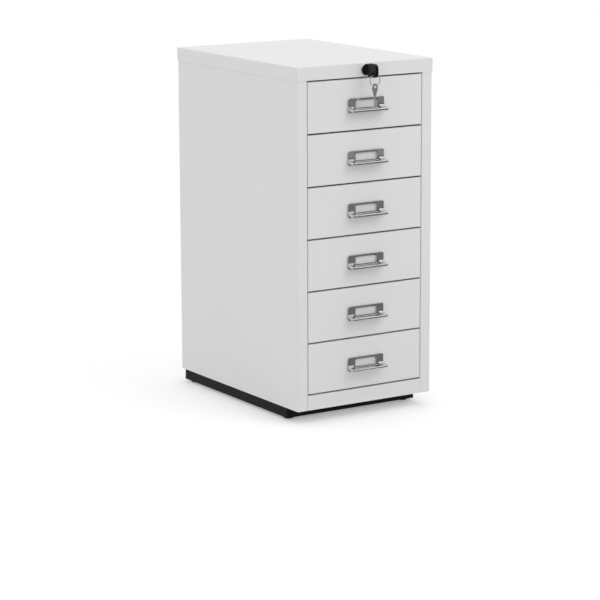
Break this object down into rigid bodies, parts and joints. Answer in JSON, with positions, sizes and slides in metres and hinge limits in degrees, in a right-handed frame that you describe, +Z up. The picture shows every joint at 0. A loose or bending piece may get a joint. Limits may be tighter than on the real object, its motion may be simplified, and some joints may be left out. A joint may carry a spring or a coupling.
{
  "type": "metal drawer cabinet",
  "caption": "Narrow sheet-steel cabinet with a stack of shallow drawers on ball slides, chrome label pulls, a key lock in the cap, and a dark recessed plinth on levelling feet.",
  "frame": {"origin": "on the floor under the middle of the whole width and depth, the key in its lock counted", "axes": "+X to the right seen from the front, +Y from the drawer fronts to the back, +Z up"},
  "size_m": [0.2804, 0.4362, 0.6195],
  "materials": {
    "white_powder_coat": "satin white powder coat",
    "black_powder_coat": "matte black powder coat",
    "zinc_plated_steel": "zinc plated, dull bright",
    "chrome_plate": "polished chrome plating on cast zinc",
    "nickel_plate": "nickel plated steel",
    "rivet_aluminium": "plain aluminium",
    "black_plastic": "moulded black plastic"
  },
  "bodies": {
    "cabinet": {"left_side_panel": "white_powder_coat", "right_side_panel": "white_powder_coat", "back_panel": "white_powder_coat", "back_rivets": "rivet_aluminium", "top_cap": "white_powder_coat", "head_rail": "white_powder_coat", "base_rail": "white_powder_coat", "floor_pan": "white_powder_coat", "plinth_frame": "black_powder_coat", "slide_uprights": "zinc_plated_steel", "left_outer_rails": "zinc_plated_steel", "right_outer_rails": "zinc_plated_steel", "lock_housing": "chrome_plate", "lock_nut": "zinc_plated_steel", "rod_bracket": "zinc_plated_steel", "bar_guides": "zinc_plated_steel"},
    "drawer_1": {"drawer_1_front": "white_powder_coat", "drawer_1_tray": "white_powder_coat", "drawer_1_pull": "chrome_plate", "drawer_1_rails": "zinc_plated_steel"},
    "cages_1": {"drawer_1_cages": "zinc_plated_steel"},
    "drawer_2": {"drawer_2_front": "white_powder_coat", "drawer_2_tray": "white_powder_coat", "drawer_2_pull": "chrome_plate", "drawer_2_rails": "zinc_plated_steel"},
    "cages_2": {"drawer_2_cages": "zinc_plated_steel"},
    "drawer_3": {"drawer_3_front": "white_powder_coat", "drawer_3_tray": "white_powder_coat", "drawer_3_pull": "chrome_plate", "drawer_3_rails": "zinc_plated_steel"},
    "cages_3": {"drawer_3_cages": "zinc_plated_steel"},
    "drawer_4": {"drawer_4_front": "white_powder_coat", "drawer_4_tray": "white_powder_coat", "drawer_4_pull": "chrome_plate", "drawer_4_rails": "zinc_plated_steel"},
    "cages_4": {"drawer_4_cages": "zinc_plated_steel"},
    "drawer_5": {"drawer_5_front": "white_powder_coat", "drawer_5_tray": "white_powder_coat", "drawer_5_pull": "chrome_plate", "drawer_5_rails": "zinc_plated_steel"},
    "cages_5": {"drawer_5_cages": "zinc_plated_steel"},
    "drawer_6": {"drawer_6_front": "white_powder_coat", "drawer_6_tray": "white_powder_coat", "drawer_6_pull": "chrome_plate", "drawer_6_rails": "zinc_plated_steel"},
    "cages_6": {"drawer_6_cages": "zinc_plated_steel"},
    "key": {"lock_plug": "zinc_plated_steel", "plug_face": "black_plastic", "key_blade": "nickel_plate", "key_head": "black_plastic", "lock_rod": "zinc_plated_steel", "lock_crank": "zinc_plated_steel"},
    "lock_bar": {"lock_bar": "zinc_plated_steel", "lock_tabs": "zinc_plated_steel"},
    "key_ring": {"key_ring": "nickel_plate"},
    "spare_key": {"spare_key": "nickel_plate"},
    "foot_front_left": {"foot_front_left": "black_plastic"},
    "foot_front_right": {"foot_front_right": "black_plastic"},
    "foot_back_left": {"foot_back_left": "black_plastic"},
    "foot_back_right": {"foot_back_right": "black_plastic"}
  },
  "joints": [
    {"name": "drawer_1_slide", "type": "slide", "parent": "cabinet", "child": "drawer_1", "axis": [0, -1, 0], "range_m": [0, 0.25]},
    {"name": "cages_1_roll", "type": "slide", "parent": "cabinet", "child": "cages_1", "axis": [0, -1, 0], "range_m": [0, 0.125]},
    {"name": "drawer_2_slide", "type": "slide", "parent": "cabinet", "child": "drawer_2", "axis": [0, -1, 0], "range_m": [0, 0.25]},
    {"name": "cages_2_roll", "type": "slide", "parent": "cabinet", "child": "cages_2", "axis": [0, -1, 0], "range_m": [0, 0.125]},
    {"name": "drawer_3_slide", "type": "slide", "parent": "cabinet", "child": "drawer_3", "axis": [0, -1, 0], "range_m": [0, 0.25]},
    {"name": "cages_3_roll", "type": "slide", "parent": "cabinet", "child": "cages_3", "axis": [0, -1, 0], "range_m": [0, 0.125]},
    {"name": "drawer_4_slide", "type": "slide", "parent": "cabinet", "child": "drawer_4", "axis": [0, -1, 0], "range_m": [0, 0.25]},
    {"name": "cages_4_roll", "type": "slide", "parent": "cabinet", "child": "cages_4", "axis": [0, -1, 0], "range_m": [0, 0.125]},
    {"name": "drawer_5_slide", "type": "slide", "parent": "cabinet", "child": "drawer_5", "axis": [0, -1, 0], "range_m": [0, 0.25]},
    {"name": "cages_5_roll", "type": "slide", "parent": "cabinet", "child": "cages_5", "axis": [0, -1, 0], "range_m": [0, 0.125]},
    {"name": "drawer_6_slide", "type": "slide", "parent": "cabinet", "child": "drawer_6", "axis": [0, -1, 0], "range_m": [0, 0.25]},
    {"name": "cages_6_roll", "type": "slide", "parent": "cabinet", "child": "cages_6", "axis": [0, -1, 0], "range_m": [0, 0.125]},
    {"name": "key_turn", "type": "hinge", "parent": "cabinet", "child": "key", "pos_m": [0, -0.1843, 0.60755], "axis": [0, -1, 0], "range_deg": [0, 90]},
    {"name": "lock_bar_lift", "type": "slide", "parent": "cabinet", "child": "lock_bar", "axis": [0, 0, 1], "range_m": [0, 0.01131]},
    {"name": "ring_swing", "type": "hinge", "parent": "key", "child": "key_ring", "pos_m": [0, -0.2111, 0.60009], "axis": [0.9781, -0.2079, 0], "range_deg": [-15, 15]},
    {"name": "spare_key_swing", "type": "hinge", "parent": "key_ring", "child": "spare_key", "pos_m": [0, -0.2111, 0.58209], "axis": [0.9781, -0.2079, 0], "range_deg": [-15, 15]},
    {"name": "foot_front_left_screw", "type": "slide", "parent": "cabinet", "child": "foot_front_left", "axis": [0, 0, -1], "range_m": [0, 0.008]},
    {"name": "foot_front_right_screw", "type": "slide", "parent": "cabinet", "child": "foot_front_right", "axis": [0, 0, -1], "range_m": [0, 0.008]},
    {"name": "foot_back_left_screw", "type": "slide", "parent": "cabinet", "child": "foot_back_left", "axis": [0, 0, -1], "range_m": [0, 0.008]},
    {"name": "foot_back_right_screw", "type": "slide", "parent": "cabinet", "child": "foot_back_right", "axis": [0, 0, -1], "range_m": [0, 0.008]}
  ],
  "couplings": [
    {"joint": "cages_1_roll", "follows": "drawer_1_slide", "ratio": 0.5},
    {"joint": "cages_2_roll", "follows": "drawer_2_slide", "ratio": 0.5},
    {"joint": "cages_3_roll", "follows": "drawer_3_slide", "ratio": 0.5},
    {"joint": "cages_4_roll", "follows": "drawer_4_slide", "ratio": 0.5},
    {"joint": "cages_5_roll", "follows": "drawer_5_slide", "ratio": 0.5},
    {"joint": "cages_6_roll", "follows": "drawer_6_slide", "ratio": 0.5},
    {"joint": "key_turn", "follows": "lock_bar_lift", "rad_per_m": 138.84}
  ]
}
